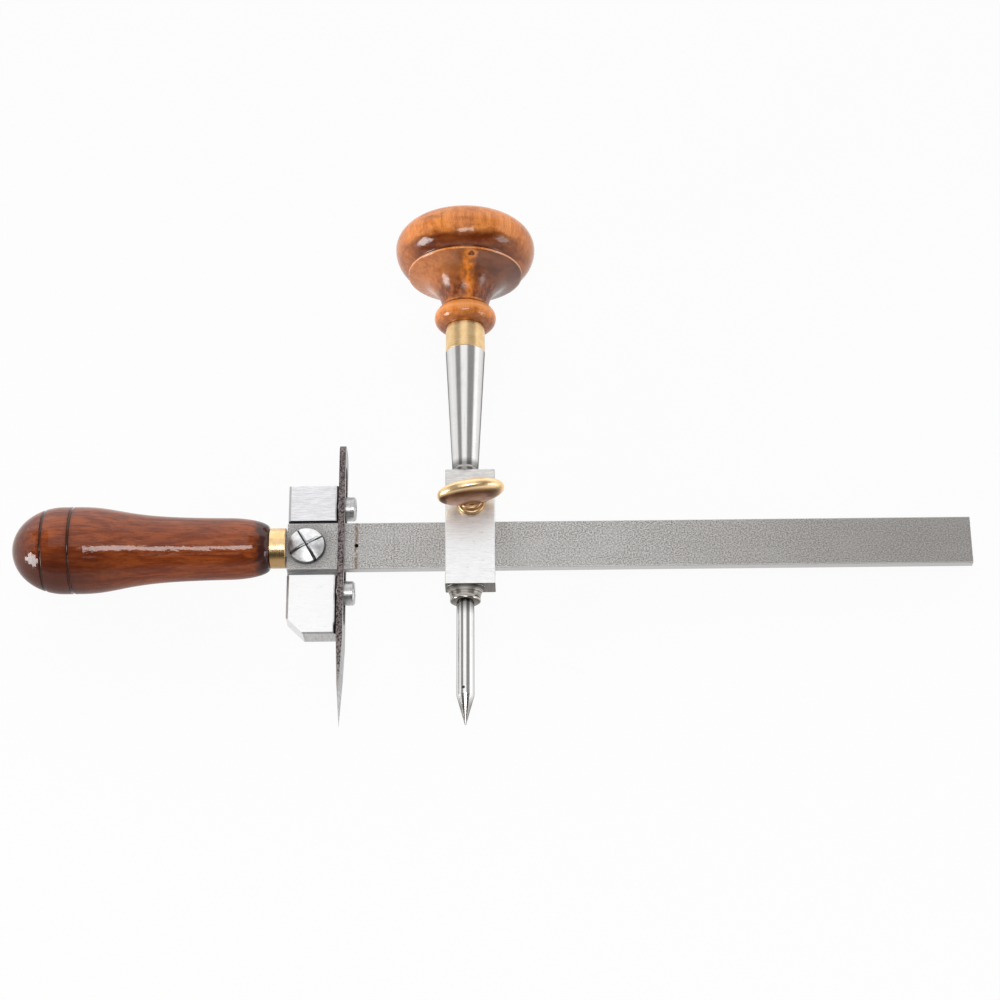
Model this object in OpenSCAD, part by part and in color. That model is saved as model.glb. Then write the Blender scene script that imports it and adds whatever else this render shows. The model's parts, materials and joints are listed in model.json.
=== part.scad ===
// Leather circle cutter, lying on a bench.
// A flat steel beam carries a turned handle and a slotted blade at one end.
// A sliding head with a palm knob and a centre pin clamps anywhere along the beam.
// Each piece is drawn in the tool's own axes, with the origin where the spindle
// crosses the middle of the beam: +X along the beam to its free end, +Y up the
// spindle to the knob, +Z out of the beam's front face. on_bench() lays it down.

/* [Setting] */
// Radius of the cut, from the pin's axis to the middle of the blade
cut_radius = 49.5; // [46:0.5:180]

/* [Beam] */
// Width of the flat beam
beam_w = 20; // [17:0.5:24]
// Thickness of the beam
beam_t = 4; // [3:0.1:5]
// Length of the beam from the handle shoulder to the free end
beam_l = 273.2; // [220:0.2:400]
// Rounding of the long edges
beam_edge = 0.5; // [0.2:0.1:1]
// Width of the tang where it leaves the beam
tang_w = 9; // [7:0.5:11]
// Width of the tang at its end
tang_end_w = 5; // [3:0.5:7]
// Length of the tang
tang_l = 76; // [40:1:85]
// Diameter of the punched index mark
pip_d = 1.3; // [0.8:0.1:2]
// Distance of the index mark from the middle of the blade
pip_from_blade = 6; // [5:0.5:10]

/* [Handle] */
// Length of the wood behind the ferrule
handle_l = 103.4; // [95:0.2:130]
// Diameter of the bulb
bulb_d = 35; // [30:0.5:42]
// Diameter of the waist
waist_d = 24.2; // [20:0.2:29]
// Length of the rounded butt
butt_l = 21; // [15:1:28]
// Distance from the butt to the end of the bulb's crest
bulb_at = 26; // [22:1:32]
// Length over which the bulb fades halfway to the waist
fade_l = 22.5; // [16:0.5:30]
// Length of the rounded nose at the ferrule
nose_l = 16; // [10:1:22]
// Distance of the first turned groove from the butt
groove_one = 13.7; // [10:0.1:18]
// Distance of the second turned groove from the butt
groove_two = 24.8; // [20:0.1:32]
// Width of the turned grooves
groove_w = 1.3; // [0.8:0.1:2]

/* [Ferrules] */
// Outside diameter of both ferrules
ferrule_d = 16.2; // [15:0.1:19]
// Wall of both ferrules
ferrule_wall = 1.1; // [0.8:0.1:1.6]
// Length of the ferrule on the handle
handle_ferrule_l = 6.6; // [5:0.2:12]
// Length of the ferrule on the knob
knob_ferrule_l = 11.8; // [8:0.1:14]
// Gap between the handle's ferrule and the beam's shoulder
shoulder_gap = 0.35; // [0:0.05:1.5]

/* [Blade holder] */
// Length of the holder along the beam
holder_l = 20.5; // [18:0.5:26]
// Depth of the holder, front to back
holder_t = 10; // [9:0.5:12]
// Height of the land above the beam
upper_land = 15.5; // [13:0.5:20]
// Height of the land below the beam
lower_land = 24.9; // [14:0.1:32]
// Gap between the beam and each land
channel_gap = 1.8; // [0.5:0.1:2.5]
// Depth of the channel that the beam lies in
channel_depth = 2.5; // [1.5:0.1:3.5]
// Size of the cut-off lower corner
holder_corner = 7; // [3:0.5:10]
// Chamfer along the holder's top and bottom edges
holder_chamfer = 0.6; // [0.2:0.1:0.8]
// Chamfer along the holder's outer front edge
holder_side_chamfer = 1; // [0.9:0.1:1.5]
// Chamfer along the holder's front edge at the blade
blade_side_chamfer = 1.7; // [0.9:0.1:2]

/* [Blade] */
// Width of the blade
blade_w = 16; // [14:0.5:20]
// Thickness of the blade
blade_t = 2.5; // [1.5:0.1:3.5]
// Height of the blade's top above the middle of the beam
blade_top = 44; // [38:0.5:50]
// Reach of the blade's tip below the middle of the beam
blade_reach = 75.2; // [68:0.5:90]
// Length of the tapered point
point_l = 35; // [25:1:40]
// Rounding of the top corners
blade_round = 5; // [1:0.5:7]
// Height of the slot's upper end above the middle of the beam
slot_up = 36; // [27:0.1:38]
// Depth of the slot's lower end below the middle of the beam
slot_down = 32.3; // [27:0.1:35]

/* [Screws] */
// Thread diameter of the two blade screws
blade_screw_d = 6; // [5:0.5:7]
// Head diameter of the blade screws
blade_head_d = 9.8; // [8.5:0.1:11]
// Head height of the blade screws
blade_head_h = 4; // [3:0.1:5]
// Distance between the blade screws
blade_screw_pitch = 36.6; // [32:0.2:40]
// Depth of the blade screws behind the middle of the beam
blade_screw_back = 3.5; // [3:0.1:4.5]
// Depth of the blade screws in the holder
blade_screw_depth = 14; // [10:0.5:16]
// Thread diameter of the holder screw
holder_screw_d = 8; // [6:0.5:9]
// Head diameter of the holder screw
holder_head_d = 14.4; // [11:0.1:15]
// Head height of the holder screw
holder_head_h = 3.2; // [2.4:0.1:4.5]
// Distance of the holder screw from the holder's outer end
holder_screw_at = 7.75; // [6:0.25:12]
// Turn of the holder screw's crossed slots
cross_turn = 30; // [0:1:89]
// Width of the screwdriver slots
driver_w = 1.3; // [1:0.1:2]
// Depth of the screwdriver slots
driver_depth = 1.6; // [0.8:0.1:2]

/* [Sliding head] */
// Length of the head block along the beam
block_l = 20; // [18:0.5:26]
// Depth of the head block, front to back
block_t = 10; // [9:0.5:14]
// Height of the block above the middle of the beam
block_up = 31.7; // [29:0.1:36]
// Depth of the block below the middle of the beam
block_down = 17.8; // [15.5:0.1:24]
// Shift of the block's middle from the spindle axis
block_shift = 2; // [0:0.25:3]
// Chamfer along the block's edges
block_chamfer = 0.4; // [0.2:0.1:1]
// Diameter of the boss round the pin
boss_d = 12.2; // [10.5:0.1:14]
// Length of the boss
boss_l = 6.4; // [4:0.1:8]
// Radius of the cove between block and boss
cove_r = 2.1; // [1:0.1:3]
// Height of the clamp plate above the middle of the beam
plate_up = 22.6; // [21.5:0.1:23.4]
// Depth of the clamp plate below the middle of the beam
plate_down = 13.9; // [12.5:0.1:15]

/* [Spindle] */
// Length of the tapered neck
neck_l = 55; // [45:0.5:70]
// Diameter of the neck at its foot
neck_foot_d = 10.6; // [9:0.1:12]
// Diameter of the threaded spigot in the block
spigot_d = 7; // [5:0.5:8]
// Length of the spigot
spigot_l = 7.5; // [5:0.5:7.5]
// Diameter of the tang in the knob
knob_tang_d = 7; // [5:0.5:9]
// Length of the tang in the knob
knob_tang_l = 38; // [25:1:44]

/* [Palm knob] */
// Diameter of the knob's bead above the ferrule
bead_d = 25.6; // [22:0.2:29]
// Radius of the bead's round section
bead_r = 4.5; // [4:0.1:7]
// Diameter of the stem at the bead
stem_d = 19.2; // [17:0.2:22]
// Height of the flared stem, from the bead to the ridge
stem_l = 17.8; // [13:0.1:22]
// Diameter of the ridge round the underside
ridge_d = 47.6; // [45:0.2:54]
// Height of the ridge's edge
ridge_step = 0.9; // [0.4:0.1:2]
// Depth of the groove between the ridge and the rim
ridge_groove = 1; // [0.5:0.1:2]
// Largest diameter of the knob
knob_d = 58.4; // [54:0.2:66]
// Half height of the rounded rim
rim_half_h = 9.6; // [9:0.1:14]
// Half width of the rounded rim
rim_half_w = 11; // [8:0.5:14]
// Crown of the top above the rim
crown_h = 1.5; // [0.5:0.1:4]

/* [Centre pin] */
// Diameter of the pin
pin_d = 7; // [6.5:0.5:8]
// Diameter of the pin's seat in the boss
pin_seat_d = 5; // [4:0.5:6]
// Reach of the pin's tip below the middle of the beam
pin_reach = 75.2; // [60:0.2:90]
// Length of the pin's point
pin_point_l = 11.9; // [8:0.1:18]
// Diameter of the blunted tip
pin_tip_d = 0.5; // [0.3:0.1:1]

/* [Thumb screw] */
// Thread diameter of the thumb screw
thumb_d = 6; // [5:0.5:6]
// Height of the thumb screw above the middle of the beam
thumb_up = 17; // [15.5:0.1:18]
// Distance of the thumb screw from the spindle axis
thumb_at = 2.5; // [0:0.25:3]
// Diameter of the collar that bears on the block
collar_d = 12; // [10:0.2:14]
// Height of the collar
collar_h = 2.6; // [2:0.1:4]
// Diameter of the second bead
neck_bead_d = 9.6; // [8:0.2:11]
// Height of the second bead
neck_bead_h = 1.9; // [1.4:0.1:3]
// Length of the oval thumb plate
spade_l = 27; // [22:0.5:32]
// Width of the oval thumb plate
spade_w = 17; // [14:0.5:22]
// Thickness of the plate's rounded rim
spade_rim = 4.7; // [3.4:0.1:5.4]
// Thickness of the plate at its two tips
spade_tip = 1.8; // [1:0.1:3]
// Thickness of the dished middle
spade_web = 4.2; // [2.4:0.1:4.4]
// Turn of the plate from the beam
spade_turn = 9; // [0:1:45]

/* [Fits] */
// Gap between the head and the beam
slide_gap = 0.1; // [0.05:0.05:0.2]
// Radial gap round a turning screw
turn_gap = 0.08; // [0.04:0.01:0.1]
// Radial gap of a fixed pin, screw or tenon
seat_gap = 0.02; // [0.01:0.01:0.04]
// Gap between the clamp plate and the beam
clamp_gap = 0.05; // [0.02:0.01:0.1]
// Gap between the blade's slot and what passes through it
slot_gap = 0.2; // [0.1:0.05:0.3]

/* [Hidden] */
$fn = 72;
// How far a cutting shape passes the face it opens
cut_over = 1;
// Room left past the end of a screw or tang
end_room = 0.5;

// Places along the beam
blade_x = -cut_radius;
holder_x1 = blade_x - blade_t / 2;
beam_x0 = holder_x1 - holder_l;
beam_x1 = beam_x0 + beam_l;
holder_screw_x = beam_x0 + holder_screw_at;
screw_seat_x = blade_x + blade_t / 2;
ferrule_x = beam_x0 - shoulder_gap - handle_ferrule_l;
butt_x = ferrule_x - handle_l;

// Blade holder
holder_floor = -beam_t / 2;
holder_front = holder_floor + channel_depth;
holder_back = holder_front - holder_t;
channel_half = beam_w / 2 + channel_gap;
holder_top = channel_half + upper_land;
holder_bottom = -channel_half - lower_land;

// Blade: the slot takes the beam in front and the screws behind
slot_front = beam_t / 2 + slot_gap;
slot_back = -blade_screw_back - blade_screw_d / 2 - slot_gap / 2;
slot_w = slot_front - slot_back;
blade_z = (slot_front + slot_back) / 2;
point_y = point_l - blade_reach;
point_r = (point_l ^ 2 + (blade_w / 2) ^ 2) / blade_w;
point_angle = asin(point_l / point_r);
corner_depth = point_l * sin(point_angle) - blade_w / 2 * cos(point_angle);
bevel_angle = atan(blade_t / 2 / corner_depth);

// Handle
ferrule_r = ferrule_d / 2;
tenon_r = ferrule_r - ferrule_wall - seat_gap;
fade_power = 2.75;

// Sliding head
block_x0 = block_shift - block_l / 2;
plate_floor = -beam_t / 2 + slide_gap;
plate_face = -beam_t / 2 - clamp_gap;
pin_seat_wall = 0.7;
pin_top = -plate_down - slide_gap - pin_seat_wall;
boss_bottom = -block_down - boss_l;

// Spindle and knob, by height on the spindle axis
neck_top = block_up + neck_l;
foot_h = 2.2;
foot_flare = 0.5;
knob_y = neck_top + knob_ferrule_l;
bead_at = bead_d / 2 - bead_r;
bead_foot = acos((ferrule_r - bead_at) / bead_r);
bead_top = acos((stem_d / 2 - bead_at) / bead_r);
bead_y = knob_y + bead_r * sin(bead_foot);
stem_y = bead_y + bead_r * sin(bead_top);
ridge_y = stem_y + stem_l + ridge_step;
groove_rise = 0.7;
rim_r = knob_d / 2 - rim_half_w;
rim_turn = acos((ridge_d / 2 - ridge_groove - rim_r) / rim_half_w);
rim_y = ridge_y + groove_rise + rim_half_h * sin(rim_turn);
knob_top_y = rim_y + rim_half_h + crown_h;

// Thumb screw, by height above the block's front face
block_face = block_t / 2;
collar_top = collar_h + neck_bead_h;
spade_mid = collar_top + spade_w / 2 - spade_rim / 2;
rim_a = (spade_l - spade_rim) / 2;
rim_b = (spade_w - spade_rim) / 2;
// The arcs of its rim meet on lines that rise 4 in 3, so that they meet exactly
seam_run = 0.6;
seam_rise = 0.8;
rim_centres = (rim_a - rim_b) / (seam_run + seam_rise - 1);
rim_end_at = seam_run * rim_centres;
rim_side_at = seam_rise * rim_centres;
rim_end_r = rim_a - rim_end_at;
rim_side_r = rim_b + rim_side_at;

// Where the tool rests: the knob's rim, the blade's back edge and the beam's end
function unit(v) = v / norm(v);
function rim_point(d) =
    let (side = norm([d.x, d.z]))
    let (span = norm([rim_half_w * side, rim_half_h * d.y]))
    let (out = rim_r + rim_half_w ^ 2 * side / span)
    [out * d.x / side, rim_y + rim_half_h ^ 2 * d.y / span, out * d.z / side];
function blade_point(d) =
    let (flat = unit([d.y, d.z]))
    [blade_x, point_y, blade_z + point_r - blade_w / 2] + point_r * [0, flat.x, flat.y];
beam_corner = [beam_x1, -beam_w / 2, -beam_t / 2];
function bench_normal(n, rounds) =
    rounds == 0 ? n :
    let (knob = rim_point(-n))
    bench_normal(unit(cross(blade_point(-n) - knob, beam_corner - knob)), rounds - 1);
first_guess = unit([0, 0.1, 1]);
bench_up = bench_normal(first_guess, 8);
bench_right = unit([1, 0, 0] - bench_up.x * bench_up);
bench_away = cross(bench_up, bench_right);
rest_mid = [
    bench_right * (beam_corner + [butt_x, 0, 0]) / 2,
    bench_away * (rim_point(bench_away) + [0, -pin_reach, 0]) / 2,
    bench_up * beam_corner
];

// Lays the tool on the bench, centred over the frame's origin
module on_bench() {
    multmatrix([
        [bench_right.x, bench_right.y, bench_right.z, -rest_mid.x],
        [bench_away.x, bench_away.y, bench_away.z, -rest_mid.y],
        [bench_up.x, bench_up.y, bench_up.z, -rest_mid.z]
    ])
        children();
}

// Turns a shape drawn along +Z to lie along the beam
module along_beam(x) {
    translate([x, 0, 0])
        rotate([90, 0, 90])
            children();
}

// Turns a shape drawn along +Z to stand on the spindle axis
module up_spindle(y) {
    translate([0, y, 0])
        rotate([-90, 0, 0])
            children();
}

// Rectangle about the origin with rounded corners
module rounded_rect(w, h, r) {
    square([w - 2 * r, h], center = true);
    square([w, h - 2 * r], center = true);
    for (x = [-1, 1], y = [-1, 1])
        translate([x * (w / 2 - r), y * (h / 2 - r)])
            circle(r);
}

// Rectangle about the origin with chamfered corners
module chamfered_rect(w, h, c) {
    a = w / 2;
    b = h / 2;
    polygon([
        [a - c, -b], [a, c - b], [a, b - c], [a - c, b],
        [c - a, b], [-a, b - c], [-a, c - b], [c - a, -b]
    ]);
}

// What two copies of a shape share, shifted to opposite sides
module shared_by_shifts(shift) {
    intersection() {
        translate(shift)
            children();
        translate(-shift)
            children();
    }
}

// Disc with a half-round edge, standing on the XY plane
module bead(d, h) {
    rotate_extrude() {
        square([(d - h) / 2, h]);
        translate([(d - h) / 2, h / 2])
            intersection() {
                circle(d = h);
                translate([0, -h / 2])
                    square(h);
            }
    }
}

// Brass tube with broken edges, standing on the XY plane
module ferrule(l) {
    inner = ferrule_r - ferrule_wall;
    edge = 0.3;
    rotate_extrude()
        polygon([
            [inner, 0], [ferrule_r - edge, 0], [ferrule_r, edge],
            [ferrule_r, l - edge], [ferrule_r - edge, l], [inner, l]
        ]);
}

// Tapered tang, as it is driven into the handle
module tang() {
    root = tang_w / 2;
    translate([0, 0, -beam_t / 2])
        linear_extrude(beam_t)
            polygon([
                [beam_x0 + root, -tang_w / 2], [beam_x0 + root, tang_w / 2], [beam_x0, tang_w / 2],
                [beam_x0 - tang_l, tang_end_w / 2], [beam_x0 - tang_l, -tang_end_w / 2],
                [beam_x0, -tang_w / 2]
            ]);
}

// Flat beam with its tang
module beam_bar() {
    pip_x = blade_x + pip_from_blade;
    color("slategray") on_bench()
        difference() {
            union() {
                along_beam(beam_x0)
                    linear_extrude(beam_l)
                        rounded_rect(beam_w, beam_t, beam_edge);
                tang();
            }
            translate([holder_screw_x, 0, -beam_t])
                cylinder(d = holder_screw_d + 2 * turn_gap, h = 2 * beam_t);
            translate([pip_x, 0, beam_t / 2])
                sphere(d = pip_d, $fn = 24);
        }
}

// Radius of the handle at a distance from its butt
function handle_r(s) =
    let (fade = 1 + (max(s - bulb_at, 0) / fade_l) ^ fade_power)
    let (swell = (waist_d + (bulb_d - waist_d) / fade) / 2)
    let (nose = max(s - handle_l + nose_l, 0) / nose_l)
    s < butt_l ? bulb_d / 2 * sqrt(1 - (1 - s / butt_l) ^ 2) :
    ferrule_r + (swell - ferrule_r) * sqrt(1 - nose ^ 2);

// Turned handle with its tenon, grooves and tang hole
module handle_grip() {
    turn_step = 5;
    length_step = 2.5;
    butt = [for (a = [0 : turn_step : 90]) butt_l * (1 - cos(a))];
    swell = [for (s = [bulb_at : length_step : handle_l - nose_l]) s];
    nose = [for (a = [0 : turn_step : 90]) handle_l - nose_l * (1 - sin(a))];
    outline = [for (s = concat(butt, swell, nose)) [handle_r(s), s]];
    tenon_end = handle_l + handle_ferrule_l;
    tenon = [[tenon_r, handle_l], [tenon_r, tenon_end], [0, tenon_end]];
    color("saddlebrown") on_bench()
        difference() {
            along_beam(butt_x)
                difference() {
                    rotate_extrude()
                        polygon(concat(outline, tenon));
                    for (s = [groove_one, groove_two])
                        rotate_extrude()
                            translate([handle_r(s), s])
                                circle(d = groove_w, $fn = 24);
                }
            tang();
        }
}

module handle_ferrule() {
    color("goldenrod") on_bench()
        along_beam(ferrule_x)
            ferrule(handle_ferrule_l);
}

// Channel block that holds the blade square to the beam
module blade_holder() {
    c = holder_chamfer;
    section = [
        [holder_bottom + c, holder_back], [holder_top - c, holder_back],
        [holder_top, holder_back + c], [holder_top, holder_front - c],
        [holder_top - c, holder_front], [channel_half, holder_front],
        [channel_half, holder_floor], [-channel_half, holder_floor],
        [-channel_half, holder_front], [holder_bottom + c, holder_front],
        [holder_bottom, holder_front - c], [holder_bottom, holder_back + c]
    ];
    color("gainsboro") on_bench()
        difference() {
            along_beam(beam_x0)
                linear_extrude(holder_l)
                    polygon(section);
            translate([beam_x0, holder_bottom, holder_back - holder_t / 2])
                linear_extrude(2 * holder_t)
                    polygon([
                        [-holder_corner, -holder_corner],
                        [2 * holder_corner, -holder_corner],
                        [-holder_corner, 2 * holder_corner]
                    ]);
            side_cut(beam_x0, holder_side_chamfer);
            side_cut(holder_x1, blade_side_chamfer);
            translate([holder_screw_x, 0, holder_back - holder_t / 2])
                cylinder(d = holder_screw_d + 2 * seat_gap, h = 2 * holder_t);
            for (side = [-1, 1])
                blade_screw_hole(side);
        }
}

// Room left by a chamfer along one of the holder's front side edges
module side_cut(x, c) {
    translate([x, 0, holder_front])
        rotate([90, 45, 0])
            cube([c * sqrt(2), c * sqrt(2), 3 * holder_top], center = true);
}

// Tapped hole in the holder's blade face
module blade_screw_hole(side) {
    translate([holder_x1 - blade_screw_depth, side * blade_screw_pitch / 2, -blade_screw_back])
        rotate([0, 90, 0])
            cylinder(d = blade_screw_d + 2 * seat_gap, h = 2 * blade_screw_depth);
}

// Domed screw with crossed slots that fixes the holder to the beam
module holder_screw() {
    rim_h = 1.4;
    dome_h = holder_head_h - rim_h;
    dome_r = ((holder_head_d / 2) ^ 2 + dome_h ^ 2) / (2 * dome_h);
    color("silver") on_bench()
        translate([holder_screw_x, 0, beam_t / 2])
            difference() {
                union() {
                    translate([0, 0, holder_back - beam_t / 2])
                        cylinder(d = holder_screw_d, h = beam_t / 2 - holder_back + rim_h);
                    intersection() {
                        cylinder(d = holder_head_d, h = holder_head_h);
                        translate([0, 0, holder_head_h - dome_r])
                            sphere(dome_r);
                    }
                }
                for (turn = [0, 90])
                    rotate(cross_turn + turn)
                        translate([-holder_head_d, -driver_w / 2, holder_head_h - driver_depth])
                            cube([2 * holder_head_d, driver_w, driver_depth + cut_over]);
            }
}

// Outline of the blade: round-cornered top, straight sides and a pointed arch
module blade_outline() {
    half = blade_w / 2;
    translate([blade_z, 0])
        difference() {
            union() {
                translate([-half, point_y])
                    square([blade_w, blade_top - blade_round - point_y]);
                translate([blade_round - half, point_y])
                    square([blade_w - 2 * blade_round, blade_top - point_y]);
                for (side = [-1, 1])
                    translate([side * (half - blade_round), blade_top - blade_round])
                        circle(blade_round);
                intersection() {
                    translate([0, point_y])
                        shared_by_shifts([point_r - half, 0])
                            circle(point_r, $fn = 180);
                    translate([-half, -blade_reach])
                        square([blade_w, point_l]);
                }
            }
            translate([-slot_w / 2, slot_w / 2 - slot_down])
                square([slot_w, slot_up + slot_down - slot_w]);
            for (y = [slot_up - slot_w / 2, slot_w / 2 - slot_down])
                translate([0, y])
                    circle(d = slot_w);
        }
}

// Room left by the two facets ground along one side of the point
module ground_side() {
    reach = 3 * blade_reach;
    gape = reach * tan(bevel_angle);
    translate([0, -blade_reach, 0])
        rotate([0, 0, -point_angle])
            rotate([90, 0, 0])
                linear_extrude(2 * reach, center = true)
                    polygon([[0, 0], [-reach, gape], [-reach, -gape]]);
}

// Slotted blade, ground to a spear point
module blade() {
    color("dimgray") on_bench()
        translate([blade_x, 0, 0])
            rotate([0, -90, 0])
                intersection() {
                    linear_extrude(blade_t, center = true)
                        blade_outline();
                    translate([blade_z, 0, 0])
                        ground_side();
                    translate([blade_z, 0, 0])
                        mirror([1, 0, 0])
                            ground_side();
                }
}

// Cheese-head screw with a crossed recess that clamps the blade to the holder
module blade_screw(side) {
    edge = 0.7;
    cross_d = 0.62 * blade_head_d;
    shank_l = blade_t + blade_screw_depth;
    color("darkgray") on_bench()
        translate([screw_seat_x, side * blade_screw_pitch / 2, -blade_screw_back])
            rotate([0, 90, 0])
                difference() {
                    union() {
                        cylinder(d = blade_head_d, h = blade_head_h - edge);
                        translate([0, 0, blade_head_h - edge])
                            cylinder(d1 = blade_head_d, d2 = blade_head_d - 2 * edge, h = edge);
                        translate([0, 0, -shank_l])
                            cylinder(d = blade_screw_d, h = shank_l + blade_head_h / 2);
                    }
                    for (turn = [0, 90])
                        rotate(turn)
                            translate([-cross_d / 2, -driver_w / 2, blade_head_h - driver_depth])
                                cube([cross_d, driver_w, 2 * driver_depth]);
                }
}

module blade_screw_upper() {
    blade_screw(1);
}

module blade_screw_lower() {
    blade_screw(-1);
}

// Coved boss under the block, before its sides are milled flush
module boss() {
    boss_r = boss_d / 2;
    rim_edge = 0.5;
    up_spindle(boss_bottom)
        rotate_extrude() {
            polygon([
                [0, 0], [boss_r - rim_edge, 0], [boss_r, rim_edge],
                [boss_r, boss_l + rim_edge], [0, boss_l + rim_edge]
            ]);
            difference() {
                translate([0, boss_l - cove_r])
                    square([boss_r + cove_r, cove_r]);
                translate([boss_r + cove_r, boss_l - cove_r])
                    circle(cove_r);
            }
        }
}

// Head block with the beam channel, clamp recess, boss and bores
module head_block() {
    channel_w = beam_w + 2 * slide_gap;
    depth = 2 * block_t;
    color("lightgray") on_bench()
        difference() {
            union() {
                translate([block_shift, block_up, 0])
                    rotate([90, 0, 0])
                        linear_extrude(block_up + block_down)
                            chamfered_rect(block_l, block_t, block_chamfer);
                intersection() {
                    boss();
                    translate([block_x0, boss_bottom, -block_t / 2])
                        cube([block_l, 2 * boss_l, block_t]);
                }
            }
            translate([block_x0 - block_l / 2, -channel_w / 2, beam_t / 2 + slide_gap - depth])
                cube([2 * block_l, channel_w, depth]);
            translate([block_x0 - block_l / 2, -plate_down - slide_gap, plate_floor - depth])
                cube([2 * block_l, plate_up + plate_down + 2 * slide_gap, depth]);
            translate([thumb_at, thumb_up, -block_t])
                cylinder(d = thumb_d + 2 * turn_gap, h = 2 * block_t);
            up_spindle(block_up - spigot_l - end_room)
                cylinder(d = spigot_d + 2 * seat_gap, h = spigot_l + end_room + cut_over);
            up_spindle(boss_bottom - cut_over)
                cylinder(d = pin_seat_d + 2 * seat_gap, h = pin_top - boss_bottom + cut_over);
        }
}

// Plate let into the back of the head, drawn against the beam by the thumb screw
module clamp_plate() {
    height = plate_up + plate_down;
    thickness = block_t / 2 + plate_face;
    color("gray") on_bench()
        difference() {
            translate([block_shift, plate_up, plate_face - thickness / 2])
                rotate([90, 0, 0])
                    linear_extrude(height)
                        chamfered_rect(block_l, thickness, block_chamfer);
            translate([thumb_at, thumb_up, -block_t])
                cylinder(d = thumb_d + 2 * turn_gap, h = block_t);
        }
}

// One arc of the thumb plate's rounded rim, kept inside a wedge of the plate
module rim_arc(centre, r, wedge) {
    intersection() {
        translate(centre)
            rotate_extrude()
                translate([r, 0])
                    circle(d = spade_rim, $fn = 32);
        linear_extrude(2 * spade_rim, center = true)
            polygon(wedge);
    }
}

// Rounded rim of the thumb plate: four tangent arcs round an oval
module spade_rim_ring() {
    run = 2 * spade_l * seam_run;
    rise = 2 * spade_l * seam_rise;
    for (side = [-1, 1]) {
        side_mid = [0, -side * rim_side_at];
        end_mid = [side * rim_end_at, 0];
        rim_arc(side_mid, rim_side_r, [
            side_mid, side_mid + [run, side * rise], side_mid + [-run, side * rise]
        ]);
        rim_arc(end_mid, rim_end_r, [
            end_mid, end_mid + [side * run, rise], end_mid + [side * run, -rise]
        ]);
    }
}

// Dished middle of the thumb plate, out to the rim's centre line
module spade_middle() {
    tangent_x = rim_end_at + rim_end_r * seam_run;
    linear_extrude(spade_web, center = true) {
        intersection() {
            shared_by_shifts([0, rim_side_at])
                circle(rim_side_r);
            square([2 * tangent_x, 2 * rim_b], center = true);
        }
        for (side = [-1, 1])
            translate([side * rim_end_at, 0])
                circle(rim_end_r);
    }
}

// Lens along the thumb plate, which thins it towards its tips and levels the rim's crest
module spade_lens() {
    crest_share = 0.95;
    crest = crest_share * spade_rim;
    swell = (crest - spade_tip) / 2;
    lens_r = ((spade_l / 2) ^ 2 + swell ^ 2) / (2 * swell);
    rotate([90, 0, 0])
        linear_extrude(2 * spade_w, center = true)
            shared_by_shifts([0, lens_r - crest / 2])
                circle(lens_r, $fn = 180);
}

// Brass thumb screw: shank, collar, bead, stem and oval plate
module thumb_screw() {
    stem_r = neck_bead_d / 2 - neck_bead_h / 2;
    color("goldenrod") on_bench()
        translate([thumb_at, thumb_up, block_face])
            rotate(spade_turn) {
                translate([0, 0, -block_t])
                    cylinder(d = thumb_d, h = block_t + collar_h / 2);
                bead(collar_d, collar_h);
                translate([0, 0, collar_h])
                    bead(neck_bead_d, neck_bead_h);
                translate([0, 0, collar_h])
                    cylinder(r1 = stem_r, r2 = spade_web / 2, h = spade_mid - collar_h);
                translate([0, 0, spade_mid])
                    rotate([90, 0, 0])
                        intersection() {
                            union() {
                                spade_rim_ring();
                                spade_middle();
                            }
                            spade_lens();
                        }
            }
}

// Turned steel neck with a threaded spigot below and a tang above
module spindle() {
    foot_r = neck_foot_d / 2;
    spigot_r = spigot_d / 2;
    tang_r = knob_tang_d / 2;
    color("silver") on_bench()
        up_spindle(block_up)
            rotate_extrude()
                polygon([
                    [0, -spigot_l], [spigot_r, -spigot_l], [spigot_r, 0],
                    [foot_r + foot_flare, 0], [foot_r + foot_flare, foot_h / 2], [foot_r, foot_h],
                    [ferrule_r, neck_l], [tang_r, neck_l],
                    [tang_r, neck_l + knob_tang_l], [0, neck_l + knob_tang_l]
                ]);
}

module knob_ferrule() {
    color("goldenrod") on_bench()
        up_spindle(neck_top)
            ferrule(knob_ferrule_l);
}

// Turned mushroom knob with its tenon and tang hole
module palm_knob() {
    step = 6;
    tang_r = knob_tang_d / 2 + seat_gap;
    tang_end = neck_top + knob_tang_l + end_room;
    bead_arc = [
        for (a = [-bead_foot : step : bead_top])
            [bead_at + bead_r * cos(a), bead_y + bead_r * sin(a)]
    ];
    stem_out = (ridge_d - stem_d) / 2;
    flare_power = 2.2;
    flare_step = 0.0625;
    stem_curve = [
        for (t = [0 : flare_step : 1])
            [stem_d / 2 + stem_out * t ^ flare_power, stem_y + stem_l * t]
    ];
    rim_arc = [
        for (a = [-rim_turn : step : 90])
            [rim_r + rim_half_w * cos(a), rim_y + rim_half_h * sin(a)]
    ];
    crown = [
        for (a = [90 : -2 * step : 0])
            [rim_r * sin(a), knob_top_y - crown_h * sin(a) ^ 2]
    ];
    color("chocolate") on_bench()
        up_spindle(0)
            rotate_extrude()
                polygon(concat(
                    [[tang_r, tang_end], [tang_r, neck_top], [tenon_r, neck_top], [tenon_r, knob_y]],
                    bead_arc, stem_curve, [[ridge_d / 2, ridge_y]], rim_arc,
                    crown, [[0, tang_end]]
                ));
}

// Pointed steel pin that the tool turns about
module centre_pin() {
    color("darkgray") on_bench()
        up_spindle(-pin_reach) {
            cylinder(d1 = pin_tip_d, d2 = pin_d, h = pin_point_l);
            translate([0, 0, pin_point_l])
                cylinder(d = pin_d, h = pin_reach + boss_bottom - pin_point_l);
            translate([0, 0, pin_point_l])
                cylinder(d = pin_seat_d, h = pin_reach + pin_top - pin_point_l);
        }
}

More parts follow.
